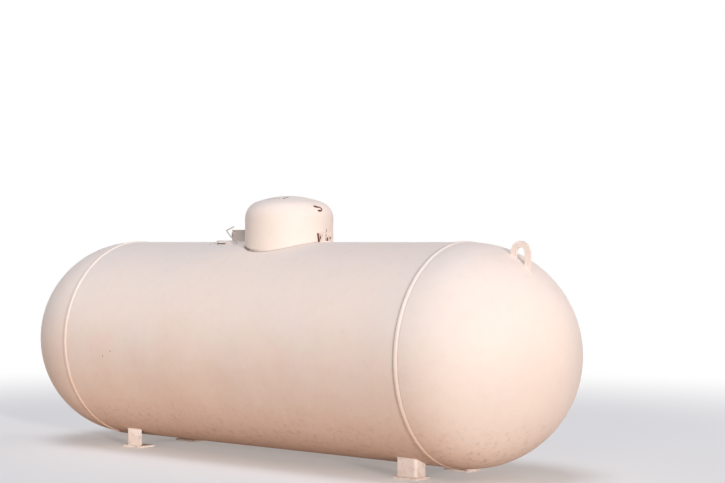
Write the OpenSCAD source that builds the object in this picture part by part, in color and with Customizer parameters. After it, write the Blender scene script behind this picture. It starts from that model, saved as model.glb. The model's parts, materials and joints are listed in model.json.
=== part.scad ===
// Horizontal pressure tank for liquefied gas, above ground, on four short legs.
// Millimetres. +X runs along the tank, +Z is up, and the origin lies on the ground
// under the middle of the tank. The front of the tank faces -Y.

/* [Tank] */
// Outside diameter of the shell and of its heads
tank_od = 950.5; // [900:0.5:1000]
// Distance between the edges of the two heads, where they lap over the shell
seam_span = 2030; // [1700:1:2600]
// Wall of the rolled shell
shell_wall = 5.6; // [4:0.1:9]
// Wall of the domed heads
head_wall = 4.6; // [4:0.1:9]
// Straight flange of a head, between its edge and its dome
head_flange = 21; // [16:1:60]
// Length of a head's lip that lies on the shell, before the joggle
lip_l = 9; // [6:0.5:14]
// Height of the lowest point of the shell above the ground
ground_gap = 40; // [30:1:120]

/* [Welds] */
// Leg of the fillet welds along the edges of the heads
fillet_leg = 4.4; // [3:0.1:6]
// Width of the long seam's bead
weld_w = 12; // [8:0.5:20]
// Height of the long seam's bead above the shell
weld_h = 3; // [1.5:0.1:5]
// Angle of the long seam below the rear side of the tank
long_seam_angle = 38; // [20:1:60]

/* [Legs] */
// Distance of a leg's middle from the edge of its head
leg_inset = 167; // [120:1:400]
// Shift of all four legs towards the end with the lifting lug
leg_shift = 20; // [-30:1:30]
// Distance between the outer faces of the front and rear legs
leg_span_y = 412; // [360:1:470]
// Width of a leg along the tank
leg_w = 100; // [80:1:140]
// Depth of a leg's side flange
leg_depth = 62; // [40:1:80]
// Plate that the legs are folded from
leg_plate = 6; // [4:0.5:10]
// Outer radius of a leg's fold
leg_fold_r = 14; // [11:0.5:24]
// Length of a foot plate along the tank
foot_l = 124; // [110:1:170]
// Depth of a foot plate across the tank
foot_d = 92; // [80:1:120]
// Thickness of a foot plate
foot_t = 8; // [5:0.5:12]
// Diameter of the anchor hole in a foot plate
anchor_d = 18; // [12:0.5:24]

/* [Lifting lug] */
// Angle of the lug from the upright, around the centre of the right dome
lug_angle = 31.4; // [20:0.1:45]
// Distance of the arch's centre outside the head
lug_rise = 31; // [22:1:40]
// Outer radius of the arch
lug_r = 48; // [40:1:55]
// Radius of the eye under the arch
lug_eye_r = 22; // [16:1:28]
// Thickness of the lug
lug_t = 12; // [8:1:16]

/* [Hood] */
// Outside diameter of the hood
hood_od = 406.4; // [380:0.2:430]
// Height of the hood's crown above the top of the tank
hood_h = 212; // [195:1:240]
// Radius of the shallow dome on the hood
hood_crown_r = 420; // [360:1:500]
// Radius of the rounded shoulder between dome and side
hood_knuckle_r = 80; // [60:1:95]
// Sheet that the hood is pressed from
hood_wall = 2.4; // [1.5:0.1:4]
// Gap between the closed hood's lower edge and the shell
hood_gap = 1; // [1:0.5:8]

/* [Hinge] */
// Distance of the hinge pin from the side of the hood
pin_to_hood = 120; // [118:0.1:145]
// Height of the hinge pin above the top of the tank
pin_z = 41; // [36:1:48]
// Diameter of the hinge pin
pin_d = 9.5; // [7:0.5:12]
// Running clearance around the pin, on the radius
pin_clear = 0.05; // [0.02:0.01:0.1]
// Radius of the round ends of the hinge ears
ear_r = 16; // [13:0.5:18]
// Distance between the inner faces of the hinge ears
ear_gap = 52; // [44:1:70]
// Plate that the hinge is made from
hinge_plate = 5; // [4:0.5:8]
// Gap between the hinge ears and the side of the hood
ear_to_hood = 13; // [10:1:30]
// Side gap between the hood's arm and the hinge ears
arm_side_gap = 3; // [1:0.5:6]
// Diameter of the wire in the pin's bent end
wire_d = 5.5; // [4:0.5:7]
// Height of the wire loop's free end above the pin
loop_up = 31; // [24:1:36]
// Depth of the wire loop's lower corner below the pin
loop_down = 20; // [16:1:30]
// Reach of the wire loop, away from the hood
loop_out = 49; // [36:1:56]

/* [Latch] */
// Distance between the inner faces of the latch ears
latch_gap = 33; // [24:1:44]
// Plate that the latch is made from
latch_plate = 5; // [4:0.5:8]
// Gap between the side of the hood and the latch ears
latch_to_hood = 8; // [6:1:12]
// Depth of a latch ear along the tank
latch_ear_l = 28; // [24:1:40]
// Height of a latch ear above the top of the tank
latch_ear_h = 44; // [38:1:60]
// Diameter of the lock hole
lock_d = 12; // [8:0.5:14]

/* [Plate bracket] */
// Angle of the bracket from the top of the tank, towards the front
bracket_angle = 10; // [9:1:20]
// Distance of the raised strap from the side of the hood
bracket_to_hood = 103; // [80:1:120]
// Length of the raised strap
bracket_l = 88; // [70:1:130]
// Length of the strap's sloped end
bracket_slope = 34; // [12:1:40]
// Length of the corner cut off the strap's outer end
bracket_corner = 24; // [10:1:32]
// Width of the bracket around the tank
bracket_w = 40; // [25:1:50]
// Thickness of the bracket's strap
bracket_t = 5; // [3:0.5:8]
// Gap between the strap and the shell
bracket_gap = 6; // [4:0.5:12]

/* [Fittings] */
// Distance of the valves from the gauge in their middle
ring_r = 118; // [112:1:122]
// Height of the threaded couplings above the top of the tank
coupling_h = 20; // [14:1:30]
// Wall of the threaded couplings
coupling_wall = 7; // [5:0.5:9]
// Depth of the couplings below the shell's inner face
coupling_reach = 6; // [2:1:12]
// Radius of the fill valve's thread
fill_r = 20; // [18:0.5:22]
// Radius of the relief valve's thread
relief_r = 16.5; // [15:0.5:20]
// Radius of the threads of the service, vapour and liquid valves
valve_r = 13.5; // [12:0.5:16]
// Radius of the gauge's thread
gauge_r = 24; // [20:0.5:27]
// Radius of the service valve's handwheel
wheel_r = 29; // [24:0.5:33]
// Length of the service valve's outlet, from its middle
outlet_l = 62; // [50:1:70]

/* [Hidden] */
$fn = 96;
// Facets of the tank's own large rounds
tank_fn = 240;
// Overlap that lets a cut run clear of a face
over = 1;
// Depth below the top of the tank from which narrow welded pieces are coped
cope = 10;

tank_r = tank_od / 2;
axis_z = ground_gap + tank_r;
top_z = axis_z + tank_r;
seam_x = seam_span / 2;
dome_x = seam_x + head_flange;
hood_r = hood_od / 2;
joggle_l = head_flange - lip_l;
pin_x = hood_r + pin_to_hood;

paint = [0.89, 0.83, 0.78];
bare_steel = [0.55, 0.53, 0.50];
brass = [0.78, 0.62, 0.30];
cast_metal = [0.62, 0.62, 0.60];
cap_yellow = [0.86, 0.66, 0.12];
cap_black = [0.10, 0.10, 0.10];
dial_white = [0.92, 0.92, 0.90];

// Height of the shell above the ground at a distance y from its middle plane
function shell_z(y) = axis_z + sqrt(tank_r * tank_r - y * y);

// Turns a shape drawn upright around Z so that its axis is the tank's own
module on_axis() translate([0, 0, axis_z]) rotate([0, 90, 0]) children();

// Turns a flat XZ outline upright, and makes it a plate of thickness t around y
module upright_plate(y, t) translate([0, y + t / 2, 0]) rotate([90, 0, 0]) linear_extrude(t) children();

// Solid turned around Z from [radius, height] corners, closed to the axis at both ends
module turned(corners)
    rotate_extrude() polygon([[0, corners[0][1]], each corners, [0, corners[len(corners) - 1][1]]]);

// Round disc with a chamfer c on both rims
module disc(r, h, c) turned([[r - c, 0], [r, c], [r, h - c], [r - c, h]]);

// Hexagon of a nut, r from its middle to a flat, with its corners chamfered as on a real nut
module hexagon(r, h) intersection() {
    corner_r = r / cos(30);
    cylinder(h = h, r = corner_r, $fn = 6);
    disc(corner_r, h, corner_r - 1.03 * r);
}

// Flat round with equal flutes cut into its rim
module fluted(r, flutes, flute_r) difference() {
    circle(r = r);
    for (i = [0 : flutes - 1]) rotate(i * 360 / flutes) translate([r + 0.4 * flute_r, 0]) circle(r = flute_r);
}

// The whole outside of the tank, for coping what stands on it
module tank_form(grow = 0) {
    on_axis() cylinder(h = 2 * dome_x, r = tank_r + grow, center = true, $fn = tank_fn);
    for (side = [-1, 1])
        translate([side * dome_x, 0, axis_z]) sphere(r = tank_r + grow, $fn = tank_fn);
}

// The straight part of the shell's outside
module shell_form(grow = 0, length = seam_span)
    on_axis() cylinder(h = length, r = tank_r + grow, center = true, $fn = tank_fn);

// Shell and heads. The heads are joggled, so that their lips lap over the shell's ends.

module shell() {
    length = seam_span + 2 * lip_l;
    color(paint) difference() {
        shell_form(length = length);
        shell_form(grow = -shell_wall, length = length + 2 * over);
        for (f = FITTINGS) coupling_blank(f);
    }
}

// Radius of a head's outside at a share t of the joggle, from the lip to the dome
function joggle_r(t) = tank_r + head_wall * (1 + cos(180 * t)) / 2;

// Wall of a head: a flat lip, a joggle down by one wall, and a quarter ring
module head_profile() {
    steps = 8;
    slope = [for (i = [0 : steps]) [joggle_r(i / steps), joggle_l * (i / steps - 1)]];
    inner = [for (i = [steps : -1 : 0]) slope[i] - [head_wall, 0]];
    polygon([[tank_r, -head_flange], [tank_r + head_wall, -head_flange], each slope, each inner]);
    intersection() {
        difference() {
            circle(r = tank_r, $fn = tank_fn);
            circle(r = tank_r - head_wall, $fn = tank_fn);
        }
        square(tank_r + over);
    }
}

module head(side) {
    color(paint) translate([0, 0, axis_z]) rotate([0, side * 90, 0]) translate([0, 0, dome_x])
        rotate_extrude($fn = tank_fn) head_profile();
}

// Slightly full fillet in the corner between the shell and a head's lip
module fillet_profile() {
    fullness = 0.58;
    polygon(fillet_leg * [[0, 0], [1, 0], [fullness, -fullness], [0, -1]]);
}

module girth_weld(side) {
    color(paint) translate([0, 0, axis_z]) rotate([0, side * 90, 0]) translate([0, 0, seam_x])
        rotate_extrude($fn = tank_fn) translate([tank_r, 0]) fillet_profile();
}

// Low crown of the long seam's bead, flat side on Y = 0
module bead_profile() {
    bead_r = (weld_w * weld_w / 4 + weld_h * weld_h) / (2 * weld_h);
    intersection() {
        translate([0, weld_h - bead_r]) circle(r = bead_r);
        translate([-weld_w / 2, 0]) square([weld_w, weld_h]);
    }
}

// Long seam of the shell, between the two girth welds
module long_seam_weld() {
    color(paint) translate([0, 0, axis_z]) rotate([-90 - long_seam_angle, 0, 0])
        rotate([90, 0, 90]) linear_extrude(seam_span - 2 * fillet_leg, center = true) difference() {
            union() {
                translate([0, tank_r]) bead_profile();
                translate([-weld_w / 2, tank_r - weld_h]) square([weld_w, weld_h]);
            }
            circle(r = tank_r, $fn = 6 * tank_fn);
        }
}

// Legs and feet

// Plan of a leg folded from plate: a web along X and one flange along Y
module leg_plan() {
    translate([leg_fold_r, 0]) square([leg_w - leg_fold_r, leg_plate]);
    translate([0, leg_fold_r]) square([leg_plate, leg_depth - leg_fold_r]);
    intersection() {
        translate([leg_fold_r, leg_fold_r]) difference() {
            circle(r = leg_fold_r);
            circle(r = leg_fold_r - leg_plate);
        }
        square(leg_fold_r);
    }
}

function leg_x(side_x) = side_x * (seam_x - leg_inset) + leg_shift;

// The web faces outwards, and the flange is at the end nearer to the tank's head
module leg(side_x, side_y) {
    color(paint) difference() {
        translate([leg_x(side_x), side_y * leg_span_y / 2, foot_t])
            mirror([side_x > 0 ? 1 : 0, 0, 0]) mirror([0, side_y > 0 ? 1 : 0, 0])
            translate([-leg_w / 2, 0, 0]) linear_extrude(axis_z - foot_t) leg_plan();
        shell_form();
    }
}

module foot(side_x, side_y) {
    foot_y = leg_span_y / 2 - leg_depth / 2;
    color(paint) translate([leg_x(side_x), side_y * foot_y, 0]) difference() {
        translate([-foot_l / 2, -foot_d / 2, 0]) cube([foot_l, foot_d, foot_t]);
        translate([0, 0, -over]) cylinder(h = foot_t + 2 * over, d = anchor_d);
    }
}

// Lifting lug: an arch on two legs, coped to the right head

module lug_outline(r) {
    circle(r = r);
    translate([-r, -tank_r]) square([2 * r, tank_r]);
}

module lifting_lug() {
    reach = tank_r + lug_rise;
    color(paint) difference() {
        translate([dome_x + reach * sin(lug_angle), 0, axis_z + reach * cos(lug_angle)])
            upright_plate(0, lug_t) difference() {
                lug_outline(lug_r);
                lug_outline(lug_eye_r);
            }
        tank_form();
    }
}

// Plate bracket: a raised strap with one square foot, cut at its front corner, and one sloped foot

module plate_bracket() {
    rise = bracket_gap + bracket_t;
    sag = tank_r - sqrt(tank_r * tank_r - bracket_w * bracket_w / 4) + over;
    end = bracket_l + bracket_slope;
    color(paint) difference() {
        translate([0, 0, axis_z]) rotate([bracket_angle, 0, 0])
            translate([-hood_r - bracket_to_hood - bracket_l, 0, tank_r]) upright_plate(0, bracket_w)
                difference() {
                    polygon([[0, -sag], [0, rise], [bracket_l, rise], [end, 0], [end, -sag]]);
                    translate([bracket_t, -sag - over])
                        square([bracket_l - 2 * bracket_t, bracket_gap + sag + over]);
                }
        translate([0, 0, axis_z]) rotate([bracket_angle, 0, 0])
            translate([-hood_r - bracket_to_hood - bracket_l, -bracket_w / 2, tank_r - sag]) rotate(45)
                cube([bracket_corner * sqrt(2), bracket_corner * sqrt(2), 2 * (rise + sag)], center = true);
        shell_form();
    }
}

// Hood: a cylinder saddle-cut to the shell, under a dished crown

hood_knuckle_x = hood_r - hood_knuckle_r;
hood_crown_z = top_z + hood_h - hood_crown_r;
hood_knuckle_z = hood_crown_z + sqrt(pow(hood_crown_r - hood_knuckle_r, 2) - pow(hood_knuckle_x, 2));
hood_foot_z = shell_z(hood_r) - over;

// Half section of the hood's outside, or of its inside when inset is the wall
module hood_section(inset = 0) {
    tangent = 3 * hood_crown_r / (hood_crown_r - hood_knuckle_r);
    rise = hood_knuckle_z - hood_crown_z;
    intersection() {
        union() {
            translate([0, hood_foot_z]) square([hood_r - inset, hood_knuckle_z - hood_foot_z]);
            translate([hood_knuckle_x, hood_knuckle_z]) circle(r = hood_knuckle_r - inset);
            intersection() {
                translate([0, hood_crown_z]) circle(r = hood_crown_r - inset, $fn = tank_fn);
                translate([0, hood_crown_z])
                    polygon([[0, 0], [tangent * hood_knuckle_x, tangent * rise], [0, tangent * rise]]);
            }
        }
        translate([0, hood_foot_z]) square([hood_r, hood_h + hood_crown_r]);
    }
}

module hood() {
    color(paint) difference() {
        rotate_extrude() difference() {
            hood_section();
            hood_section(hood_wall);
        }
        shell_form(grow = hood_gap);
    }
}

// Everything inside the hood's side, for cutting what is welded on from outside
module hood_core() translate([0, 0, axis_z]) cylinder(h = tank_r + hood_h, r = hood_r);

// Hinge

ear_x = -pin_x - ear_r;
ear_end_x = -hood_r - ear_to_hood;
ear_y = ear_gap / 2 + hinge_plate / 2;
arm_y = ear_gap / 2 - arm_side_gap - hinge_plate / 2;
hinge_z = top_z + pin_z;

module pin_cylinder(r, length)
    translate([-pin_x, 0, hinge_z]) rotate([90, 0, 0]) cylinder(h = length, r = r, center = true);

// Two upright ears on a narrow base, coped to the shell
module hinge_bracket() {
    base_w = ear_gap + 2 * hinge_plate;
    color(paint) difference() {
        union() {
            for (side = [-1, 1]) upright_plate(side * ear_y, hinge_plate) {
                translate([-pin_x, hinge_z]) circle(r = ear_r);
                translate([ear_x, top_z - cope]) square([ear_end_x - ear_x, cope + pin_z]);
                translate([-pin_x, hinge_z]) square([ear_end_x + pin_x, ear_r]);
            }
            translate([ear_x, -base_w / 2, top_z - cope])
                cube([ear_end_x - ear_x, base_w, cope + hinge_plate]);
        }
        shell_form();
        pin_cylinder(pin_d / 2, 2 * base_w);
    }
}

// Arm of the hood: two cheeks under a bridge, with an eye for the pin at the outer end
module hood_hinge_arm() {
    eye_r = ear_r - 2;
    bridge_x = -pin_x + ear_r + hinge_plate;
    arm_w = 2 * arm_y + hinge_plate;
    color(paint) difference() {
        union() {
            for (side = [-1, 1]) upright_plate(side * arm_y, hinge_plate) {
                translate([-pin_x, hinge_z]) circle(r = eye_r);
                translate([-pin_x, hinge_z - eye_r]) square([pin_x - hood_knuckle_x, 2 * eye_r]);
            }
            translate([bridge_x, -arm_w / 2, hinge_z + eye_r - hinge_plate])
                cube([-hood_knuckle_x - bridge_x, arm_w, hinge_plate]);
        }
        hood_core();
        pin_cylinder(pin_d / 2 + pin_clear, 2 * arm_w);
    }
}

// Round bar from point a to point b, with balls a little larger than the bar at its ends
module bar(a, b, r) {
    run = b - a;
    length = norm(run);
    translate(a) rotate([0, acos(run[2] / length), atan2(run[1], run[0])]) cylinder(h = length, r = r);
    for (end = [a, b]) translate(end) sphere(r = 1.08 * r);
}

// Hinge pin with a round head at the rear and a bent wire loop at the front
module hinge_pin() {
    half = ear_y + hinge_plate / 2;
    head_t = 4;
    loop_y = -half - wire_d;
    loop = [[0, 0], [-0.12 * loop_out, loop_up / 2], [-0.3 * loop_out, -loop_down],
            [-loop_out, 0.42 * loop_up], [0, loop_up]];
    color(paint) union() {
        translate([-pin_x, half, hinge_z]) rotate([90, 0, 0])
            cylinder(h = 2 * half + wire_d, d = pin_d);
        translate([-pin_x, half + head_t, hinge_z]) rotate([90, 0, 0]) disc(0.85 * pin_d, head_t, 1);
        translate([-pin_x, loop_y, hinge_z]) for (i = [1 : len(loop) - 1])
            bar([loop[i - 1][0], 0, loop[i - 1][1]], [loop[i][0], 0, loop[i][1]], wire_d / 2);
    }
}

// Latch

latch_x = hood_r + latch_to_hood;
latch_y = latch_gap / 2 + latch_plate / 2;
lock_x = latch_x + latch_ear_l / 2;
lock_z = top_z + latch_ear_h - latch_ear_l / 2;

module lock_hole(length)
    translate([lock_x, 0, lock_z]) rotate([90, 0, 0]) cylinder(h = length, d = lock_d, center = true);

// Two ears on a narrow base, coped to the shell
module latch_bracket() {
    base_w = latch_gap + 2 * latch_plate;
    color(paint) difference() {
        union() {
            for (side = [-1, 1]) upright_plate(side * latch_y, latch_plate) {
                translate([lock_x, lock_z]) circle(d = latch_ear_l);
                translate([latch_x, top_z - cope]) square([latch_ear_l, lock_z - top_z + cope]);
            }
            translate([latch_x, -base_w / 2, top_z - cope]) cube([latch_ear_l, base_w, cope + latch_plate]);
        }
        shell_form();
        lock_hole(2 * base_w);
    }
}

// Tab on the hood that stands between the latch ears
module hood_latch_tab() {
    tab_r = latch_ear_l / 2 - 1;
    color(paint) difference() {
        upright_plate(0, latch_plate) {
            translate([lock_x, lock_z]) circle(r = tab_r);
            translate([hood_knuckle_x, lock_z - tab_r]) square([lock_x - hood_knuckle_x, 2 * tab_r]);
        }
        hood_core();
        lock_hole(4 * latch_plate);
    }
}

// Fittings under the hood. Each place is [x, y, thread radius].

function on_ring(angle, r) = [ring_r * cos(angle), ring_r * sin(angle), r];
FILL = on_ring(-37, fill_r);
VAPOUR = on_ring(40, valve_r);
LIQUID = on_ring(92, valve_r);
RELIEF = on_ring(146, relief_r);
SERVICE = on_ring(216, valve_r);
GAUGE = [0, 0, gauge_r];
FITTINGS = [FILL, VAPOUR, LIQUID, RELIEF, SERVICE, GAUGE];
seat_z = top_z + coupling_h;

module fitting_at(f) translate([f[0], f[1], seat_z]) children();

// Length of a half coupling, which reaches a little way into the tank
function coupling_l(f) = seat_z - shell_z(abs(f[1]) + f[2]) + shell_wall + coupling_reach;

module coupling_blank(f)
    fitting_at(f) translate([0, 0, -coupling_l(f)]) cylinder(h = coupling_l(f), r = f[2] + coupling_wall);

// Half couplings set through the shell, one for each fitting
module couplings() {
    color(paint) for (f = FITTINGS) difference() {
        coupling_blank(f);
        fitting_at(f) translate([0, 0, -coupling_l(f) - over]) cylinder(h = coupling_l(f) + 2 * over, r = f[2]);
    }
}

// Threaded foot of a fitting, down into its coupling, with a hexagon above
module valve_base(f, hex_h) {
    translate([0, 0, -coupling_h]) cylinder(h = coupling_h, r = f[2]);
    hexagon(f[2] + 4, hex_h);
}

// Waisted neck of radius r, with a shoulder that stands out by ledge just below its top
module valve_neck(r, h, ledge) {
    waist = 2;
    shoulder_h = h / 4;
    turned([[r, 0], [r, waist], [r - waist, 2 * waist], [r - waist, h / 2], [r + ledge, h / 2 + ledge],
            [r + ledge, h / 2 + ledge + shoulder_h], [r, h / 2 + 2 * ledge + shoulder_h], [r, h]]);
}

// Screw cap with a fluted skirt and a chamfered crown
module screw_cap(r, h) {
    skirt_h = 0.7 * h;
    flute_r = 2.4;
    linear_extrude(skirt_h) fluted(r, 18, flute_r);
    translate([0, 0, skirt_h]) disc(r - flute_r, h - skirt_h, 0.15 * h);
}

fill_hex_h = 18;
fill_body_h = 52;
module fill_valve() {
    color(brass) fitting_at(FILL) {
        valve_base(FILL, fill_hex_h);
        translate([0, 0, fill_hex_h]) valve_neck(fill_r, fill_body_h - fill_hex_h, 4);
    }
}

module fill_valve_cap() {
    color(cap_yellow) fitting_at(FILL) translate([0, 0, fill_body_h]) screw_cap(fill_r + 6, 30);
}

relief_hex_h = 20;
relief_body_h = 62;
// Spring relief valve: a hexagon under a straight barrel with a turned mouth
module relief_valve() {
    barrel_r = relief_r + 5;
    barrel_h = relief_body_h - relief_hex_h;
    rim_h = 6;
    color(brass) fitting_at(RELIEF) {
        valve_base(RELIEF, relief_hex_h);
        translate([0, 0, relief_hex_h]) turned([
            [relief_r, 0], [barrel_r, rim_h], [barrel_r, barrel_h - 2 * rim_h],
            [barrel_r - 2, barrel_h - 1.5 * rim_h], [barrel_r - 2, barrel_h - rim_h],
            [barrel_r, barrel_h - rim_h], [barrel_r, barrel_h]]);
    }
}

// Loose rain cap over the mouth of the relief valve
module relief_rain_cap() {
    cap_r = relief_r + 9;
    skirt_h = 8;
    crown_h = 7;
    color(cap_black) fitting_at(RELIEF) translate([0, 0, relief_body_h]) turned([
        [cap_r, 0], [cap_r, skirt_h], [cap_r - 3, skirt_h + 2], [cap_r / 2, skirt_h + crown_h]]);
}

service_hex_h = 16;
service_body_h = 66;
bonnet_h = 10;
stem_r = 5;
outlet_z = 34;
outlet_r = 12;
outlet_depth = 20;
bleeder_l = 30;
// Angle valve: an outlet to the front, a bleeder screw at its side and a stem through the bonnet nut
module service_valve() {
    body_r = valve_r + 3;
    bonnet_z = service_body_h - bonnet_h;
    color(brass) fitting_at(SERVICE) {
        valve_base(SERVICE, service_hex_h);
        translate([0, 0, service_hex_h]) turned([
            [body_r, 0], [body_r, bonnet_z - service_hex_h - 4], [body_r - 3, bonnet_z - service_hex_h]]);
        translate([0, 0, bonnet_z]) hexagon(body_r - 4, bonnet_h);
        translate([0, 0, service_body_h]) cylinder(h = 14, r = stem_r);
        difference() {
            translate([0, 0, outlet_z]) rotate([90, 0, 0]) turned([
                [body_r - 3, 0], [body_r - 3, outlet_l - outlet_depth - 4],
                [outlet_r + 5, outlet_l - outlet_depth], [outlet_r + 5, outlet_l - 1], [outlet_r + 4, outlet_l]]);
            translate([0, outlet_depth - outlet_l, outlet_z]) rotate([90, 0, 0])
                cylinder(h = outlet_depth + over, r = outlet_r);
        }
        translate([0, 0, outlet_z]) rotate([0, -90, 0]) {
            cylinder(h = bleeder_l, r = 3.5);
            translate([0, 0, bleeder_l - 8]) disc(6, 8, 1);
        }
    }
}

// Fluted handwheel on the stem of the service valve
module service_handwheel() {
    wheel_h = 11;
    hub_h = 16;
    stem_depth = 10;
    color(cast_metal) fitting_at(SERVICE) translate([0, 0, service_body_h + 4]) difference() {
        union() {
            linear_extrude(wheel_h) fluted(wheel_r, 8, 7);
            disc(11, hub_h, 1.5);
        }
        translate([0, 0, -over]) cylinder(h = stem_depth + over, r = stem_r);
    }
}

vapour_hex_h = 16;
vapour_body_h = 44;
module vapour_valve() {
    color(brass) fitting_at(VAPOUR) {
        valve_base(VAPOUR, vapour_hex_h);
        translate([0, 0, vapour_hex_h]) valve_neck(valve_r + 2, vapour_body_h - vapour_hex_h, 3);
    }
}

module vapour_valve_cap() {
    color(cap_yellow) fitting_at(VAPOUR) translate([0, 0, vapour_body_h]) screw_cap(valve_r + 7, 24);
}

liquid_hex_h = 14;
liquid_body_h = 34;
module liquid_valve() {
    color(brass) fitting_at(LIQUID) {
        valve_base(LIQUID, liquid_hex_h);
        translate([0, 0, liquid_hex_h]) valve_neck(valve_r + 2, liquid_body_h - liquid_hex_h, 2);
    }
}

// Brass cap with a hexagon under a low crown
module liquid_valve_cap() {
    cap_hex_h = 12;
    crown_r = valve_r + 3;
    color(brass) fitting_at(LIQUID) translate([0, 0, liquid_body_h]) {
        hexagon(valve_r + 5, cap_hex_h);
        translate([0, 0, cap_hex_h]) turned([[crown_r, 0], [crown_r, 2], [crown_r - 4, 6]]);
    }
}

gauge_flange_w = 62;
gauge_flange_r = 38;
gauge_flange_h = 10;
gauge_neck_h = 8;
gauge_screw_r = 30;
screw_hole_d = 6;
screw_foot = 2;

module at_gauge_screws()
    fitting_at(GAUGE) for (a = [45 : 90 : 315]) rotate(a) translate([gauge_screw_r, 0, screw_foot]) children();

// Float gauge: a square flange with rounded corners on its threaded foot, and a round neck
module gauge_body() {
    color(cast_metal) difference() {
        fitting_at(GAUGE) {
            translate([0, 0, -coupling_h]) cylinder(h = coupling_h, r = gauge_r);
            linear_extrude(gauge_flange_h) intersection() {
                square(gauge_flange_w, center = true);
                circle(r = gauge_flange_r);
            }
            translate([0, 0, gauge_flange_h]) cylinder(h = gauge_neck_h, r = 20);
        }
        at_gauge_screws() cylinder(h = gauge_flange_h, d = screw_hole_d);
    }
}

// Round dial in its rim, on top of the gauge
module gauge_dial() {
    dial_r = 25;
    dial_h = 10;
    rim_w = 2.5;
    rim_h = 2;
    color(dial_white) fitting_at(GAUGE) translate([0, 0, gauge_flange_h + gauge_neck_h]) difference() {
        turned([[dial_r - 2, 0], [dial_r, 2], [dial_r, dial_h - 1], [dial_r - 1, dial_h]]);
        translate([0, 0, dial_h - rim_h]) cylinder(h = rim_h + over, r = dial_r - rim_w);
    }
}

// Four hexagon screws in the gauge's flange
module gauge_screws() {
    shank_l = gauge_flange_h - screw_foot;
    color(bare_steel) at_gauge_screws() {
        cylinder(h = shank_l, d = screw_hole_d);
        translate([0, 0, shank_l]) hexagon(5, 4);
    }
}

shell();
head(-1);  // left_head
head(1);  // right_head
girth_weld(-1);  // left_girth_weld
girth_weld(1);  // right_girth_weld
long_seam_weld();
leg(-1, -1);  // leg_front_left
leg(1, -1);  // leg_front_right
leg(-1, 1);  // leg_rear_left
leg(1, 1);  // leg_rear_right
foot(-1, -1);  // foot_front_left
foot(1, -1);  // foot_front_right
foot(-1, 1);  // foot_rear_left
foot(1, 1);  // foot_rear_right
lifting_lug();
plate_bracket();
hinge_bracket();
hinge_pin();
latch_bracket();
hood();
hood_hinge_arm();
hood_latch_tab();
couplings();
fill_valve();
fill_valve_cap();
relief_valve();
relief_rain_cap();
service_valve();
service_handwheel();
vapour_valve();
vapour_valve_cap();
liquid_valve();
liquid_valve_cap();
gauge_body();
gauge_dial();
gauge_screws();
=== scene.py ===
# %% [markdown]
# # A horizontal pressure tank in sun-bleached paint
#
# The tank is a rolled steel shell between two domed heads. It stands on four short legs, and a
# pressed hood on a hinge covers its valves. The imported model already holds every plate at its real
# size. This lesson adds what the plates lack: weld beads with ripples, a scale on the gauge, straps
# for the caps, and above all a coat of paint that has stood outside for years.

# %% Load the frame
import json
import math
import random

import bpy
from mathutils import Matrix, Vector


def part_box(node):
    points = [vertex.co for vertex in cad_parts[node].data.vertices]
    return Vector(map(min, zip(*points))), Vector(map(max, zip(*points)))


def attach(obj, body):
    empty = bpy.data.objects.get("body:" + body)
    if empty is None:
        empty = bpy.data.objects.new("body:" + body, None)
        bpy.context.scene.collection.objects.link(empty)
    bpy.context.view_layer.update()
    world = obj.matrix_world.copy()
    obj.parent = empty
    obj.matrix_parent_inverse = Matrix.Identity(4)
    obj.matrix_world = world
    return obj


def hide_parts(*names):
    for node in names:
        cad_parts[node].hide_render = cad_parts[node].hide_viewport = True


bpy.context.scene.view_settings.view_transform = "Standard"
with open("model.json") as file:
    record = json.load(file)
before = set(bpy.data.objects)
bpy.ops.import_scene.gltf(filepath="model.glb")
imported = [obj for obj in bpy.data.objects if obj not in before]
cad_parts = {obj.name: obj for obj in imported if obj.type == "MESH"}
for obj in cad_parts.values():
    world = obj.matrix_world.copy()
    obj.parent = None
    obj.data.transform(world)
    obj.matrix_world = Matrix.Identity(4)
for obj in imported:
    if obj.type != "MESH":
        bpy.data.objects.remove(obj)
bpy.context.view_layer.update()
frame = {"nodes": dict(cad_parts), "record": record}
nodes = frame["nodes"]
print("packed pieces:", len(nodes))

# %% [markdown]
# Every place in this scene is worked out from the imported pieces, so the frame is measured once.
# The shell lies along X. Its box gives the radius, the height of the axis and the two girth seams.
# Two functions then find a place on the tank's outside: one from a turn round the axis, the other
# from a place in plan.

# %% Measure the tank
MM = 0.001
shell_low, shell_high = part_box("shell")
TANK_R = (shell_high.z - shell_low.z) / 2
AXIS_Z = (shell_high.z + shell_low.z) / 2
TOP_Z = shell_high.z
SEAM_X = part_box("right_girth_weld")[1].x
DOME_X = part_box("right_head")[1].x - TANK_R
HOOD_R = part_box("hood")[1].x


def on_shell(x, turn):
    """Place on the shell's outside at x, turned round the axis from the top towards the rear."""
    return Vector((x, TANK_R * math.sin(turn), AXIS_Z + TANK_R * math.cos(turn)))


def surface_z(x, y, low=False):
    """Height of the tank's outside over or under the point x, y."""
    past_seam = max(abs(x) - DOME_X, 0)
    rise = math.sqrt(max(TANK_R**2 - y**2 - past_seam**2, 0))
    return AXIS_Z - rise if low else AXIS_Z + rise


print(f"radius {TANK_R:.4f} m, axis at {AXIS_Z:.4f} m, seams at {SEAM_X:.3f} m")

# %% [markdown]
# ## The camera
#
# The photo was taken from the front right, a little under the height of the tank's top and about
# eight metres away, with a short telephoto lens. The three angles below are a heading, a tilt
# and a small roll. The place is given from the middle of the tank, so it follows the frame.

# %% Camera
CAMERA_FROM_AXIS = Vector((5.286, -5.666, 0.445))
CAMERA_HEADING = math.radians(40.514)
CAMERA_TILT = math.radians(0.252)
CAMERA_ROLL = math.radians(0.219)
CAMERA_LENS = 83.45
SENSOR_WIDTH = 36.0


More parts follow.
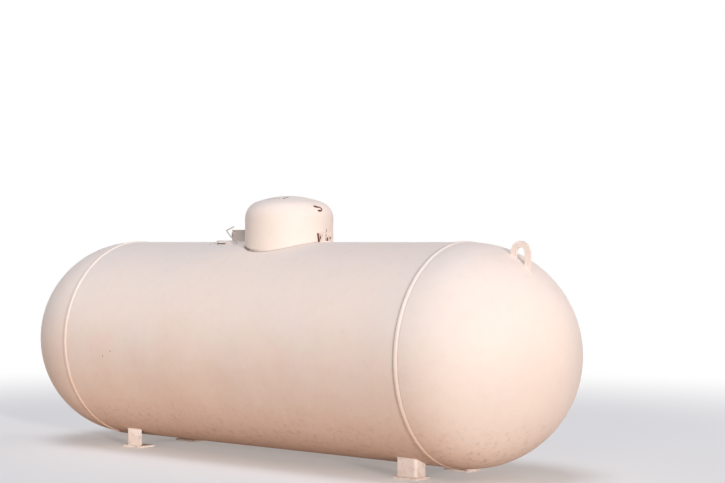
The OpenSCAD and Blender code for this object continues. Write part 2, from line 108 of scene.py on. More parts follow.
def place_camera():
    turn = (
        Matrix.Rotation(CAMERA_HEADING, 3, "Z")
        @ Matrix.Rotation(math.radians(90) + CAMERA_TILT, 3, "X")
        @ Matrix.Rotation(CAMERA_ROLL, 3, "Z")
    )
    place = CAMERA_FROM_AXIS + Vector((0, 0, AXIS_Z))
    bpy.ops.object.camera_add(location=place, rotation=turn.to_euler())
    camera = bpy.context.object
    camera.name = "photo_camera"
    camera.data.sensor_fit = "HORIZONTAL"
    camera.data.sensor_width = SENSOR_WIDTH
    camera.data.lens = CAMERA_LENS
    bpy.context.scene.camera = camera
    return camera


camera = place_camera()
print("camera at", [round(c, 3) for c in camera.location])

# %% [markdown]
# ## Shader maths as plain expressions
#
# A worn surface is a sum of masks, and masks are arithmetic. Wiring each plus and times by hand
# hides the idea, so a small class wraps a socket and turns Python's operators into Math nodes.
# With it, `rust * 0.6 + dust` in the script is the same chain of nodes as on screen.

# %% A socket that can be calculated with
class Value:
    """An output socket. The operators are for numbers: a Math node would turn a colour grey."""

    def __init__(self, shader, socket):
        self.shader = shader
        self.socket = socket

    def math(self, operation, *others):
        return self.shader.node("Math", {"operation": operation}, [self, *others])

    def __add__(self, other):
        return self.math("ADD", other)

    def __sub__(self, other):
        return self.math("SUBTRACT", other)

    def __mul__(self, other):
        return self.math("MULTIPLY", other)

    def __rsub__(self, other):
        return self.shader.node("Math", {"operation": "SUBTRACT"}, [other, self])

    __radd__ = __add__
    __rmul__ = __mul__

    def least(self, other):
        return self.math("MINIMUM", other)

    def most(self, other):
        return self.math("MAXIMUM", other)

    def abs(self):
        return self.math("ABSOLUTE")

    def sqrt(self):
        return self.math("SQRT")

    def clamp(self):
        return self.most(0.0).least(1.0)

    def ramp(self, start, end):
        """0 at start and 1 at end, with a smooth step between. start may be the larger one."""
        ins = {"Value": self, "From Min": start, "From Max": end}
        return self.shader.node("MapRange", {"interpolation_type": "SMOOTHSTEP"}, ins)


# %% [markdown]
# The second class is one material. Its `node` method adds any node: first its settings, then the
# values or links of its inputs. `noise`, `mix` and the rest are short names for what is used often.
# All patterns read Object coordinates, and each piece's object sits at the origin, so a pattern
# runs on across a seam from the shell to the head, as dirt does.

# %% A material that adds its own nodes
class Shader:
    """A material with a Principled surface, or the world, built node by node."""

    def __init__(self, name, world=None):
        self.material = world or bpy.data.materials.new(name)
        self.material.use_nodes = True
        self.tree = self.material.node_tree
        self.tree.nodes.clear()
        self.place = self.node("TexCoord", out="Generated" if world else "Object")
        self.x, self.y, self.z = [
            self.node("SeparateXYZ", ins={"Vector": self.place}, out=axis) for axis in "XYZ"
        ]

    def node(self, kind, settings=None, ins=(), out=0):
        """One new node. ins gives its inputs in their order, or each by its name or number."""
        made = self.tree.nodes.new("ShaderNode" + kind)
        for name, setting in (settings or {}).items():
            setattr(made, name, setting)
        pairs = ins.items() if isinstance(ins, dict) else enumerate(ins)
        for key, value in pairs:
            if isinstance(value, Value):
                self.tree.links.new(value.socket, made.inputs[key])
            else:
                made.inputs[key].default_value = value
        return Value(self, made.outputs[out]) if made.outputs else None

    def vector(self, operation, *ins, out="Vector"):
        """A Vector Math node, for places and directions."""
        return self.node("VectorMath", {"operation": operation}, ins, out)

    def stretch(self, x, y, z):
        """The place, scaled along each axis, for patterns that run in one direction."""
        return self.vector("MULTIPLY", self.place, (x, y, z))

    def noise(self, scale, detail=3.0, rough=0.5, at=None):
        """Cloudy noise from 0 to 1. Its lumps are about 1 / scale metres wide."""
        ins = {"Vector": at or self.place, "Scale": scale, "Detail": detail, "Roughness": rough}
        return self.node("TexNoise", ins=ins, out="Fac")

    def cells(self, scale):
        """Distance to the nearest of many scattered points, in widths of their cells."""
        ins = {"Vector": self.place, "Scale": scale}
        return self.node("TexVoronoi", {"feature": "F1"}, ins, out="Distance")

    def near(self, a, b=None):
        """Distance in metres to the point a, or to the straight line from a to b."""
        a = Vector(a)
        from_a = self.vector("SUBTRACT", self.place, a)
        if b is None:
            return self.vector("LENGTH", from_a, out="Value")
        run = Vector(b) - a
        along = self.vector("DOT_PRODUCT", from_a, run, out="Value")
        share = (along * (1 / run.length_squared)).clamp()
        foot = self.node("VectorMath", {"operation": "SCALE"}, {0: run, "Scale": share})
        return self.vector("DISTANCE", from_a, foot, out="Value")

    def mix(self, under, over, share):
        """The colour under, covered by the colour over where share is 1."""
        ins = {0: share, 6: under, 7: over}
        return self.node("Mix", {"data_type": "RGBA"}, ins, out=2)

    def bump(self, height, depth, under=None):
        """A normal from a height of 0 to 1 that stands for depth in metres."""
        ins = {"Height": height, "Distance": depth, "Strength": 1.0}
        if under is not None:
            ins["Normal"] = under
        return self.node("Bump", ins=ins, out="Normal")

    def chips(self, width, low=0.02, high=0.12):
        """1 along the edges of a piece, about width metres wide, and 0 on its flats."""
        rounded = self.node("Bevel", {"samples": 6}, {"Radius": width})
        flat = self.node("NewGeometry", out="True Normal")
        facing = self.vector("DOT_PRODUCT", rounded, flat, out="Value")
        return (1 - facing).ramp(low, high)

    def finish(self, sockets):
        """The Principled surface with these sockets, joined to the material's output."""
        surface = self.node("BsdfPrincipled", ins=sockets)
        self.node("OutputMaterial", ins={"Surface": surface})
        return self.material


def srgb(red, green, blue):
    """A colour as a paint chart gives it, 0 to 255, turned into the linear light that nodes use."""
    linear = []
    for channel in (red, green, blue):
        share = channel / 255
        linear.append(((share + 0.055) / 1.055) ** 2.4 if share > 0.04045 else share / 12.92)
    return (*linear, 1.0)


# %% [markdown]
# ## The floor and the light
#
# The floor is one wide plane. To the tank it is warm and pale, so warmth comes back to the belly.
# Where it is looked at, straight or by way of metal or glass, it is a plainer, paler colour with a
# share of its own glow. That share is small near the tank, so the shadow stays, and grows to all of
# it far away, so the floor meets the white background without an edge. Light Path tells the two
# uses of the floor apart.

# %% Floor
WHITE = (1, 1, 1, 1)
FLOOR_SIZE = 60.0
FLOOR_FADE = (2.4, 6.0)
FLOOR_BOUNCE = srgb(236, 220, 204)
FLOOR_SEEN = srgb(246, 243, 239)
FLOOR_LIFT = 0.24
SEEN_BY = ("Camera", "Glossy", "Transmission")


def seen_rays(shader):
    """1 where the camera looks, straight or by way of metal or glass. 0 for light on the tank."""
    straight, mirrored, through = [
        shader.node("LightPath", out=f"Is {kind} Ray") for kind in SEEN_BY
    ]
    return straight.most(mirrored).most(through)


def floor_material():
    """Warm and pale to the tank, paler to the camera, and white far away. It keeps its shadow."""
    shader = Shader("studio_floor")
    far = (shader.x * shader.x + shader.y * shader.y).sqrt().ramp(*FLOOR_FADE)
    glow_share = far * (1 - FLOOR_LIFT) + FLOOR_LIFT
    bounce = shader.node("BsdfDiffuse", ins={"Color": FLOOR_BOUNCE})
    pale = shader.node("BsdfDiffuse", ins={"Color": FLOOR_SEEN})
    glow = shader.node("Emission", ins={"Color": WHITE, "Strength": 1.0})
    seen = shader.node("MixShader", ins=[glow_share, pale, glow])
    surface = shader.node("MixShader", ins=[seen_rays(shader), bounce, seen])
    shader.node("OutputMaterial", ins={"Surface": surface})
    return shader.material


def build_floor():
    bpy.ops.mesh.primitive_plane_add(size=FLOOR_SIZE, location=(0, 0, 0))
    floor = bpy.context.object
    floor.name = "studio_floor"
    floor.data.materials.append(floor_material())


build_floor()
print("floor:", FLOOR_SIZE, "m wide")

# %% [markdown]
# Outdoors, light comes from the sun and from all round. One narrow lamp is the sun, low on the
# right: it makes the right head the brightest part and lays the lug's shadow on it. Three wide
# lamps stand for light that reaches the tank by way of other things, from the ground in front,
# from overhead, and from behind on the right. They are lamps because a floor that is bright enough
# to do the same would lose its shadow. The dim sky fills what is left, a little brighter on the
# sun's side, and like the floor it is white only where it is looked at.

# %% Sun and sky
SUN_FROM = Vector((0.900, -0.419, 0.122))
GROUND_GLOW_FROM = Vector((0.340, -0.934, 0.105))
SKY_GLOW_FROM = Vector((0.0, -0.174, 0.985))
REAR_GLOW_FROM = Vector((0.539, 0.770, 0.342))
LAMP_AWAY = 6.0
SKY_BRIGHTEST = Vector((0.58, -0.42, 0.70))
SKY_NEAR_SUN = srgb(124, 126, 136)
SKY_AWAY = srgb(92, 97, 110)
SKY_FADE = (-0.3, 0.9)


def distant_lamp(name, comes_from, power, tint, width):
    """A lamp that shines alike on all, as wide in the sky as width degrees."""
    aim = (-comes_from).to_track_quat("-Z", "Y")
    place = comes_from * LAMP_AWAY
    bpy.ops.object.light_add(type="SUN", location=place, rotation=aim.to_euler())
    lamp = bpy.context.object
    lamp.name = name
    lamp.data.energy = power
    lamp.data.color = tint[:3]
    lamp.data.angle = math.radians(width)
    print(name, "has power", power, "and is", width, "degrees wide")


def build_sky():
    """A sky brightest on the sun's side, which is plain white where it is looked at."""
    sky = Shader("sky", bpy.context.scene.world or bpy.data.worlds.new("sky"))
    bpy.context.scene.world = sky.material
    sunward = sky.vector("DOT_PRODUCT", sky.place, SKY_BRIGHTEST, out="Value")
    colour = sky.mix(SKY_AWAY, SKY_NEAR_SUN, sunward.ramp(*SKY_FADE))
    light = sky.node("Background", ins={"Color": colour, "Strength": 1.0})
    white = sky.node("Background", ins={"Color": WHITE, "Strength": 1.0})
    surface = sky.node("MixShader", ins=[seen_rays(sky), light, white])
    sky.node("OutputWorld", ins={"Surface": surface})


distant_lamp("sun", SUN_FROM, power=2.0, tint=srgb(255, 247, 243), width=3)
distant_lamp("ground_glow", GROUND_GLOW_FROM, power=1.02, tint=srgb(255, 246, 234), width=20)
distant_lamp("sky_glow", SKY_GLOW_FROM, power=1.2, tint=srgb(236, 242, 255), width=30)
distant_lamp("rear_glow", REAR_GLOW_FROM, power=0.58, tint=srgb(255, 236, 220), width=20)
build_sky()

# %% [markdown]
# ## The paint
#
# The tank has one warm off-white coat. Sun has chalked it, and red dust clings to it, hardly at the
# top and thickly underneath, where no rain washes it off. The same colour also paints the warm
# light bounced from the ground and the shade low on the tank. Each kind of wear is a short
# function of its own, so that five paints can share them in different amounts. First come the
# colours, coats before dirt, and the depths of the two bumps: what the roller left and slow waves
# in the plate.

# %% Paint colours
PAINT = srgb(235, 221, 211)
PAINT_COOL = srgb(230, 220, 213)
PAINT_SHADE = srgb(214, 194, 183)
# A paler coat, lightened further as painted sunlight on the legs under the belly.
LEG_PAINT_AND_SUNLIGHT = srgb(255, 247, 240)
# Painted shade: the hinge lies in the hood's shadow, and this dark coat stands for it.
HINGE_PAINTED_SHADE = srgb(98, 88, 84)
# Red dust, and also painted warm light bounced from the ground and shade low on the tank.
DUST_AND_BOUNCE = srgb(200, 152, 121)
DUST_DARK = srgb(150, 108, 82)
RUST_PALE_AND_SHADOW = srgb(176, 128, 104)
RUST_AND_SHADOW = srgb(96, 56, 46)
GRIME_AND_SHADE = srgb(94, 68, 58)
SPECK = srgb(92, 66, 54)
ROLLER_DEPTH = 0.08 * MM
WAVE_DEPTH = 0.35 * MM

# %% [markdown]
# Dust thickens towards the ground, and the same mask paints warm bounced light and shade low down.
# There is less of it on the right head, as the photo shows.
# Its upper limit wanders in clouds. Rain carries some of it along in runs, which are noise that is
# drawn out in height, and throws drops of mud against the lowest part. A few dark specks lie all
# over. Every mask is a ramp of height or noise, because its soft edge is easy to move.

# %% Dust with painted bounced light, runs, splashes and specks
DUST_FLOOR = 0.04
CLOUD_REACH = 0.30
CLEAN_END = (0.98, 1.30)
CLEAN_SHARE = 0.55
RUN_STRETCH = (40.0, 12.0, 3.4)
RUN_TOP = AXIS_Z - 0.05
DARK_RUNS = 0.12
PALE_RUNS = 0.20
SPLASH_ZONE = (0.34, 0.10)
SPLASH_SHARE = 0.34
SPECK_SHARE = 0.6


def dust_share(s, top):
    """Dust with painted bounced light and shade: none at the height top, most near the ground."""
    cloud = s.noise(4.2, detail=5.0, rough=0.6)
    dust = (s.z - (cloud - 0.5) * CLOUD_REACH).ramp(top, DUST_FLOOR)
    return dust * (1 - s.x.ramp(*CLEAN_END) * CLEAN_SHARE)


def with_runs(s, colour):
    """Dark and pale runs on the lower half."""
    low = s.z.ramp(RUN_TOP, AXIS_Z - TANK_R)
    run = s.noise(1.0, detail=4.0, rough=0.62, at=s.stretch(*RUN_STRETCH))
    colour = s.mix(colour, DUST_DARK, run.ramp(0.50, 0.85) * low * DARK_RUNS)
    return s.mix(colour, PAINT_SHADE, run.ramp(0.44, 0.22) * low * PALE_RUNS)


def with_splashes(s, colour):
    """Drops of mud, and bare paint between them, near the ground."""
    near_ground = s.z.ramp(*SPLASH_ZONE)
    mud = s.noise(34.0, detail=4.0, rough=0.7).ramp(0.5, 0.72)
    bare = s.noise(48.0, detail=3.0, rough=0.7).ramp(0.54, 0.70)
    colour = s.mix(colour, DUST_DARK, mud * near_ground * SPLASH_SHARE)
    return s.mix(colour, PAINT, bare * near_ground * SPLASH_SHARE)


def with_specks(s, colour):
    """Dark specks a few millimetres wide, in loose groups."""
    group = s.noise(2.2, detail=1.0).ramp(0.58, 0.68)
    return s.mix(colour, SPECK, s.cells(11.0).ramp(0.045, 0.015) * group * SPECK_SHARE)


# %% [markdown]
# Dirt lodges in corners, and shade falls there too, so these masks give both, dirt and painted
# shade, in one dark colour. Those places are known from the frame, so the masks measure the
# distance to a joint instead of looking for one: to the right girth weld, to the line where each
# head's dome begins, and to the ring where the hood meets the shell. At the weld the dark line is
# painted shade on the bead's flank, with some dirt. Round the hood the dark is strongest on the
# side away from the sun, which is painted shade, and a last mask paints shade along the hood's
# lower edge on that side. Noise on the distance keeps the limit ragged.

# %% Dirt and painted shade at the joints
WELD_GRIME_AND_SHADE = 0.58
DOME_GRIME_AND_SHADE = 0.25
HOOD_GRIME_AND_SHADE = 0.35
HOOD_SHADE_SIDE_EXTRA = 0.50
HOOD_SHADE_SIDE = (0.06, -0.14)
HOOD_EDGE_SHADE_SIDE = (0.05, -0.11)


def ragged(s, width):
    """An uneven offset in metres, to be added to a distance."""
    return (s.noise(38.0, detail=4.0, rough=0.65) - 0.5) * width


def joint_grime(s):
    """Dirt and painted shade at the right girth weld, each head's dome edge and round the hood."""
    # Painted shade on the bead's flank away from the sun, with some dirt.
    at_weld = (s.x - SEAM_X - 0.5 * MM).abs().ramp(4.5 * MM, 1.0 * MM)
    at_dome = (s.x.abs() - DOME_X - 1.0 * MM).abs().ramp(3.5 * MM, 0.5 * MM)
    from_hood = (s.x * s.x + s.y * s.y).sqrt() - HOOD_R + ragged(s, 9.0 * MM)
    at_hood = from_hood.abs().ramp(7.0 * MM, 1.0 * MM) * s.z.ramp(AXIS_Z, TOP_Z)
    # Stronger on the side away from the sun: painted shade.
    at_hood = at_hood * (s.x.ramp(*HOOD_SHADE_SIDE) * HOOD_SHADE_SIDE_EXTRA + HOOD_GRIME_AND_SHADE)
    return (at_weld * WELD_GRIME_AND_SHADE).most(at_dome * DOME_GRIME_AND_SHADE).most(at_hood)


def edge_grime(s):
    """Painted shade along the hood's lower edge, on the side away from the sun."""
    above_shell = s.z - AXIS_Z - (TANK_R**2 - s.y * s.y).sqrt() + ragged(s, 8.0 * MM)
    return above_shell.ramp(14.0 * MM, 5.0 * MM) * s.x.ramp(*HOOD_EDGE_SHADE_SIDE)


# %% [markdown]
# Rust comes last, because it shows through all other dirt: a pale stain with a dark core. It lies
# in two kinds of places, at marks that are listed further on, and along sharp edges, where the coat
# is thin and chips off. One of the marks is a painted shadow in the same colours. The same masks
# also make the surface rougher, so that a dusty or rusty spot is dull as well as brown.

# %% The worn coat
MARK_RAGGED = 1.2
MARK_OUTSIDE = 1.15
MARK_CORE = 0.75
CHIP_SHARE = 0.8
MOTTLE_SHARE = 0.16
PAINT_GLOSS = 0.3


def rust_share(s, marks, chip_width):
    """1 at rust marks, the one painted shadow and chipped edges. A paint has marks, chips or both."""
    grain = s.noise(180.0, detail=3.0, rough=0.7) - 0.5
    rust_and_shadow = 0.0
    for start, end, reach in marks:
        away = s.near(start, end) + grain * reach * MARK_RAGGED
        rust_and_shadow = away.ramp(reach * MARK_OUTSIDE, reach * MARK_CORE).most(rust_and_shadow)
    if chip_width:
        worn = s.chips(chip_width) * s.noise(55.0, detail=4.0, rough=0.7).ramp(0.52, 0.64)
        rust_and_shadow = (worn * CHIP_SHARE).most(rust_and_shadow)
    return rust_and_shadow


def worn_paint(name, coat=PAINT, dust_top=0.3, dust_amount=0.0, dirt_and_shade=None, marks=(), chip_width=0):
    """Outdoor paint. Dust with painted bounce and shade starts at dust_top and thickens downwards."""
    s = Shader(name)
    mottle = s.noise(24.0, detail=4.0, rough=0.6)
    fine = s.noise(60.0, detail=3.0, rough=0.7).ramp(0.25, 0.75)
    # dust holds the dust together with the painted bounced light and shade.
    dust = dust_share(s, dust_top)
    rust_and_shadow = rust_share(s, marks, chip_width)
    colour = s.mix(coat, PAINT_COOL, s.noise(1.7, detail=2.0).ramp(0.35, 0.68))
    colour = s.mix(colour, PAINT_SHADE, mottle.ramp(0.45, 0.85) * MOTTLE_SHARE)
    colour = s.mix(colour, DUST_AND_BOUNCE, (dust * dust_amount * (fine * 0.16 + 0.9)).clamp())
    colour = with_specks(s, with_splashes(s, with_runs(s, colour)))
    # Dirt and painted shade in the joints and along the hood's edge.
    if dirt_and_shade:
        colour = s.mix(colour, GRIME_AND_SHADE, dirt_and_shade(s) * (fine * 0.4 + 0.6))
    colour = s.mix(colour, RUST_PALE_AND_SHADOW, (rust_and_shadow * 1.6).clamp())
    colour = s.mix(colour, RUST_AND_SHADOW, rust_and_shadow.ramp(0.35, 0.9))
    waves = s.bump(s.noise(5.5, detail=1.0), WAVE_DEPTH)
    roller = s.noise(330.0, detail=2.0, rough=0.55) + s.noise(95.0, detail=2.0) * 0.8
    return s.finish({
        "Base Color": colour,
        "Roughness": (0.50 + mottle * 0.12 + dust * 0.2 + rust_and_shadow * 0.3).clamp(),
        "Specular IOR Level": PAINT_GLOSS,
        "Normal": s.bump(roller, ROLLER_DEPTH, waves),
    })


# %% [markdown]
# The photo shows marks that anyone would know this tank by: a hook of rust on the hood's shoulder,
# brown lines near its crown, dark stains at the latch, and a few specks on the shell. One more
# mark is a painted shadow: the dark bar that the latch's front ear casts on the hood. Each is a
# chain of straight strokes in space, with a start, an end and half a width. A stroke without an end
# is a round spot. Heights are measured from the top of the tank, so the marks follow the frame.

# %% Rust marks
def stroke(start, end, reach):
    """A mark of half width reach, between two places given in millimetres from the tank's top."""
    top = Vector((0, 0, TOP_Z))
    end = None if end is None else Vector(end) * MM + top
    return Vector(start) * MM + top, end, reach * MM


HOOD_MARKS_AND_SHADOW = [
    stroke((180.5, -28, 160.5), (184, -14, 158), 6.0),
    stroke((184, -14, 158.5), (187, 4, 157), 4.0),
    stroke((187, 4, 157), (191, 9.5, 150), 4.4),
    stroke((191, 9.5, 150), (195.3, 4, 143), 4.0),
    stroke((195.9, -16, 142), (195.9, -3, 141.5), 5.0),
    stroke((54, -98, 196.5), (53, -66, 203.3), 4.0),
    stroke((2, -111, 196), (33, -99, 198.5), 2.2),
    stroke((-25, -122, 193), (-8, -116, 195), 1.8),
    # Painted shadow: the dark bar that the latch's front ear casts on the hood beside it.
    stroke((201.5, -26, 37), (202.3, -20.5, 3), 5.2),
    stroke((200.7, 31.7, 58), (200.6, 32.6, 46), 2.2),
]
LATCH_MARKS = [
    stroke((213, -21.5, 24), (214, -21.5, 17), 4.0),
    stroke((220.5, 16.5, 22), (221, 16.5, 6), 3.6),
    stroke((239, 16.5, 21), (238, 16.5, 15), 3.2),
]
SHELL_MARKS = [
    stroke((-695.7, -473.9, -510.85), None, 3.0),
    stroke((-750.9, -471.3, -536.75), None, 3.0),
    stroke((-409.9, -104.7, -11.65), None, 4.0),
]
print("rust marks:", len(HOOD_MARKS_AND_SHADOW + LATCH_MARKS + SHELL_MARKS))

# %% [markdown]
# Now the five paints. The tank's has the dust, with painted bounced light and shade low down. The
# legs' is a paler coat, lightened further as painted sunlight, with a little dust, and the hood
# stands above the dust. The legs, the small brackets and the hinge are cut plate, so their edges
# chip. The hinge lies in the hood's shadow and is nearly black, so its dark coat is painted shade.

# %% Paint the plates
CHIP_W = 2.0 * MM
PAINTS = {
    "tank_paint": {
        "dust_top": 0.77, "dust_amount": 0.60, "dirt_and_shade": joint_grime, "marks": SHELL_MARKS,
    },
    "leg_paint": {
        "coat": LEG_PAINT_AND_SUNLIGHT, "dust_top": 0.06, "dust_amount": 0.15, "chip_width": CHIP_W,
    },
    "hood_paint": {"dirt_and_shade": edge_grime, "marks": HOOD_MARKS_AND_SHADOW},
    "bracket_paint": {"marks": LATCH_MARKS, "chip_width": CHIP_W},
    "hinge_painted_shade": {"coat": HINGE_PAINTED_SHADE, "chip_width": CHIP_W},
}
finishes = {name: worn_paint(name, **amounts) for name, amounts in PAINTS.items()}
print("paints:", ", ".join(finishes))

# %% [markdown]
# ## Bare metal and plastic
#
# Under the hood are forged brass valves, a cast gauge and faded plastic caps. Brass outdoors goes
# brown in its corners and stays yellow where hands touch it, so its tone follows a coarse noise.
# Plastic bleaches in patches, and what faces upwards gathers dust.

# %% Metals and plastics
METAL_DEPTH = 0.05 * MM
PLASTIC_DEPTH = 0.04 * MM
CAP_DUST = srgb(170, 150, 130)
METALS = {
    "bare_steel": (srgb(190, 186, 178), srgb(122, 104, 88), 0.35),
    "valve_brass": (srgb(214, 180, 106), srgb(122, 92, 52), 0.30),
    "cast_metal": (srgb(186, 186, 182), srgb(132, 128, 120), 0.42),
}
PLASTICS = {
    "yellow_cap": (srgb(222, 170, 40), srgb(228, 196, 110)),
    "black_cap": (srgb(30, 30, 31), srgb(78, 74, 70)),
    "pointer_red": (srgb(186, 44, 30), srgb(204, 92, 70)),
    "dial": (srgb(236, 235, 228), srgb(222, 217, 202)),
}


def dull_metal(name, bright, dark, rough):
    """Bare metal, dark and rougher where it has weathered, with a fine grain."""
    s = Shader(name)
    patina = s.noise(60.0, detail=5.0, rough=0.65).ramp(0.35, 0.7)
    grain = s.noise(900.0, detail=2.0)
    return s.finish({
        "Base Color": s.mix(bright, dark, patina * 0.8),
        "Metallic": 1.0,
        "Roughness": (patina * 0.22 + grain * 0.08 + rough).clamp(),
        "Normal": s.bump(grain + s.noise(140.0, detail=3.0) * 2.0, METAL_DEPTH),
    })


def faded_plastic(name, fresh, faded):
    """Moulded plastic, bleached in patches and dusty on top."""
    s = Shader(name)
    bleach = s.noise(30.0, detail=4.0, rough=0.6).ramp(0.3, 0.75)
    facing = s.node("TexCoord", out="Normal")
    upwards = s.node("SeparateXYZ", ins={"Vector": facing}, out="Z").ramp(0.5, 1.0)
    colour = s.mix(fresh, faded, bleach * 0.6)
    return s.finish({
        "Base Color": s.mix(colour, CAP_DUST, upwards * 0.25),
        "Roughness": (bleach * 0.2 + 0.45).clamp(),
        "Normal": s.bump(s.noise(500.0, detail=2.0), PLASTIC_DEPTH),
    })


finishes |= {name: dull_metal(name, *tones) for name, tones in METALS.items()}
finishes |= {name: faded_plastic(name, *tones) for name, tones in PLASTICS.items()}
print("finishes:", ", ".join(sorted(finishes)))

# %% [markdown]
# The record names a finish for each imported piece. Two groups of small plates get one of their own
# instead: the brackets, with their stains and chipped edges, and the hinge, whose dark coat is
# painted shade.

# %% Dress the imported pieces
BRACKET_NODES = ("lifting_lug", "plate_bracket", "latch_bracket", "hood_latch_tab")
HINGE_NODES = ("hinge_bracket", "hood_hinge_arm")
slot_of = {part["node"]: part["material_slot"] for part in frame["record"]["subparts"]}


def dress(piece, finish):
    piece.data.materials.clear()
    piece.data.materials.append(finishes[finish])


for node_name, piece in nodes.items():
    finish = slot_of[node_name]
    if node_name in BRACKET_NODES:
        finish = "bracket_paint"
    elif node_name in HINGE_NODES:
        finish = "hinge_painted_shade"
    dress(piece, finish)
print("dressed:", len(nodes), "pieces")

# %% [markdown]
# ## New pieces
#
# Each new piece ends with the same steps. Its place is applied to its mesh, so that its object sits
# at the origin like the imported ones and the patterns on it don't slide. Then come smooth shading, a
# finish, and a body to ride on, which moves it with the hood or keeps it on the tank.

# %% Helpers for new pieces
SMOOTH_ANGLE = math.radians(40)


def pick_only(piece):
    """Selects one piece alone, as a click on it does."""
    bpy.ops.object.select_all(action="DESELECT")
    piece.select_set(True)
    bpy.context.view_layer.objects.active = piece


def finish_piece(piece, name, body, finish):
    """The last steps of each new piece: its place, shading, name, finish and body."""
    pick_only(piece)
    bpy.ops.object.transform_apply(location=True, rotation=True, scale=True)
    bpy.ops.object.shade_smooth_by_angle(angle=SMOOTH_ANGLE)
    piece.name = name
    dress(piece, finish)
    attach(piece, body)
    print(name, "has", len(piece.data.polygons), "faces")


# %% [markdown]
# ## Weld beads
#
# Welds hold the real tank together, and each is a row of ripples, one for every small step of the
# arc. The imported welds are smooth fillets. Here a bead is a curve along the joint with a point for
# every half ripple. The points are thick and thin in turn, and a round bevel makes the metal. That
# is quicker than sculpting and stays even all the way round. A little chance in each radius, always
# the same from run to run, keeps it from looking turned on a lathe.

# %% A bead along a route
HALF_RIPPLE = 3.0 * MM
RIPPLE_SWELL = 0.07
UNEVEN = 0.05
BEAD_SIDES = 8
hand = random.Random(11)


def even_route(corners, closed=True):
    """Places along the straight lines from corner to corner, half a ripple apart."""
    corners = [Vector(corner) for corner in corners]
    ends = corners[1:] + corners[:1] if closed else corners[1:]
    route = []
    for start, end in zip(corners, ends):
        steps = max(round((end - start).length / HALF_RIPPLE), 1)
        route += [start.lerp(end, i / steps) for i in range(steps)]
    return route if closed else route + [corners[-1]]


def ring_route(radius, place):
    """Places on a ring of this radius, each found by a function of its angle."""
    steps = 2 * round(math.pi * radius / HALF_RIPPLE)
    return [place(2 * math.pi * i / steps) for i in range(steps)]


def weld_bead(routes, radius, closed=True, taper=1.0):
    """Weld metal along each route, in one mesh. It thins out to the share taper at its end."""
    bpy.ops.object.select_all(action="DESELECT")
    bpy.ops.curve.primitive_bezier_curve_add()
    bead = bpy.context.object
    bead.data.splines.clear()
    for route in routes:
        spline = bead.data.splines.new("POLY")
        spline.points.add(len(route) - 1)
        spline.use_cyclic_u = closed
        for i, place in enumerate(route):
            spline.points[i].co = (*place, 1)
            swell = 1 + RIPPLE_SWELL * (-1) ** i + hand.uniform(-UNEVEN, UNEVEN)
            spline.points[i].radius = swell * (1 + (taper - 1) * i / len(route))
    bead.data.bevel_depth = radius
    bead.data.bevel_resolution = BEAD_SIDES // 2 - 2
    bead.data.use_fill_caps = True
    bpy.ops.object.convert(target="MESH")
    return bead


# %% [markdown]
# The two girth welds show most. Each head laps the shell's end, and the fillet in that corner runs
# all the way round, so its route is a ring on the shell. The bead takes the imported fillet's place.

# %% Girth welds
GIRTH_BEAD_R = 3.8 * MM

for side, node_name in ((-1, "left_girth_weld"), (1, "right_girth_weld")):
    seam = ring_route(TANK_R, lambda turn: on_shell(side * SEAM_X, turn))
    girth = weld_bead([seam], GIRTH_BEAD_R)
    finish_piece(girth, node_name + "_bead", "tank", "tank_paint")
    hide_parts(node_name)

# %% [markdown]
# The long seam closes the rolled shell on its low rear side. A machine laid it, so it is wider and
# flatter than the rest. It is drawn along the top, where its place is plain to see, pressed to half
# its height, and then turned round the tank's axis. The turn is in edit mode, about a centre that
# is given, because a script has no pivot point on screen to rely on.

# %% Long seam
SEAM_BEAD_R = 6.0 * MM
SEAM_FLAT = 0.5
SEAM_TURN = math.radians(128)
SEAM_END = 4.0 * MM

top_line = [(side * (SEAM_X - SEAM_END), 0, TOP_Z) for side in (-1, 1)]
long_seam = weld_bead([even_route(top_line, closed=False)], SEAM_BEAD_R, closed=False)
bpy.ops.object.mode_set(mode="EDIT")
bpy.ops.mesh.select_all(action="SELECT")
bpy.ops.transform.resize(value=(1, 1, SEAM_FLAT), center_override=(0, 0, TOP_Z))
bpy.ops.transform.rotate(value=SEAM_TURN, orient_axis="X", center_override=(0, 0, AXIS_Z))
bpy.ops.object.mode_set(mode="OBJECT")
finish_piece(long_seam, "long_seam_bead", "tank", "tank_paint")
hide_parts("long_seam_weld")

# %% [markdown]
# The small beads follow the feet of what stands on the tank. Each foot is drawn in plan first, and
# `surface_z` then lifts every point onto the shell or the head, so that the bead lies in the joint.
# A leg is a plate folded once, so its plan is two straight lines with a round corner between them.
# It has one bead under the shell and one on its foot plate.

# %% Beads of the legs
LEG_BEAD_R = 3.5 * MM
LEG_FOLD_R = 14.0 * MM
FOLD_STEPS = 6


def leg_plan(leg):
    """Outside of a leg's folded plate in plan, from the end of its web to that of its flange."""
    low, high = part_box(leg)
    side_x = 1 if low.x > 0 else -1
    side_y = 1 if low.y > 0 else -1
    inner_x, outer_x = sorted((abs(low.x), abs(high.x)))
    inner_y, outer_y = sorted((abs(low.y), abs(high.y)))
    fold = []
    for i in range(FOLD_STEPS + 1):
        bend = math.pi / 2 * i / FOLD_STEPS
        fold.append((outer_x - LEG_FOLD_R * (1 - math.sin(bend)),
                     outer_y - LEG_FOLD_R * (1 - math.cos(bend))))
    corners = [(inner_x, outer_y), *fold, (outer_x, inner_y)]
    return [(side_x * x, side_y * y) for x, y in even_route(corners, closed=False)]


legs = [node_name for node_name in nodes if node_name.startswith("leg_")]
leg_routes = []
for leg in legs:
    plan = leg_plan(leg)
    foot_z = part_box(leg)[0].z
    leg_routes.append([(x, y, surface_z(x, y, low=True)) for x, y in plan])
    leg_routes.append([(x, y, foot_z) for x, y in plan])
leg_welds = weld_bead(leg_routes, LEG_BEAD_R, closed=False)
finish_piece(leg_welds, "leg_welds", "tank", "leg_paint")

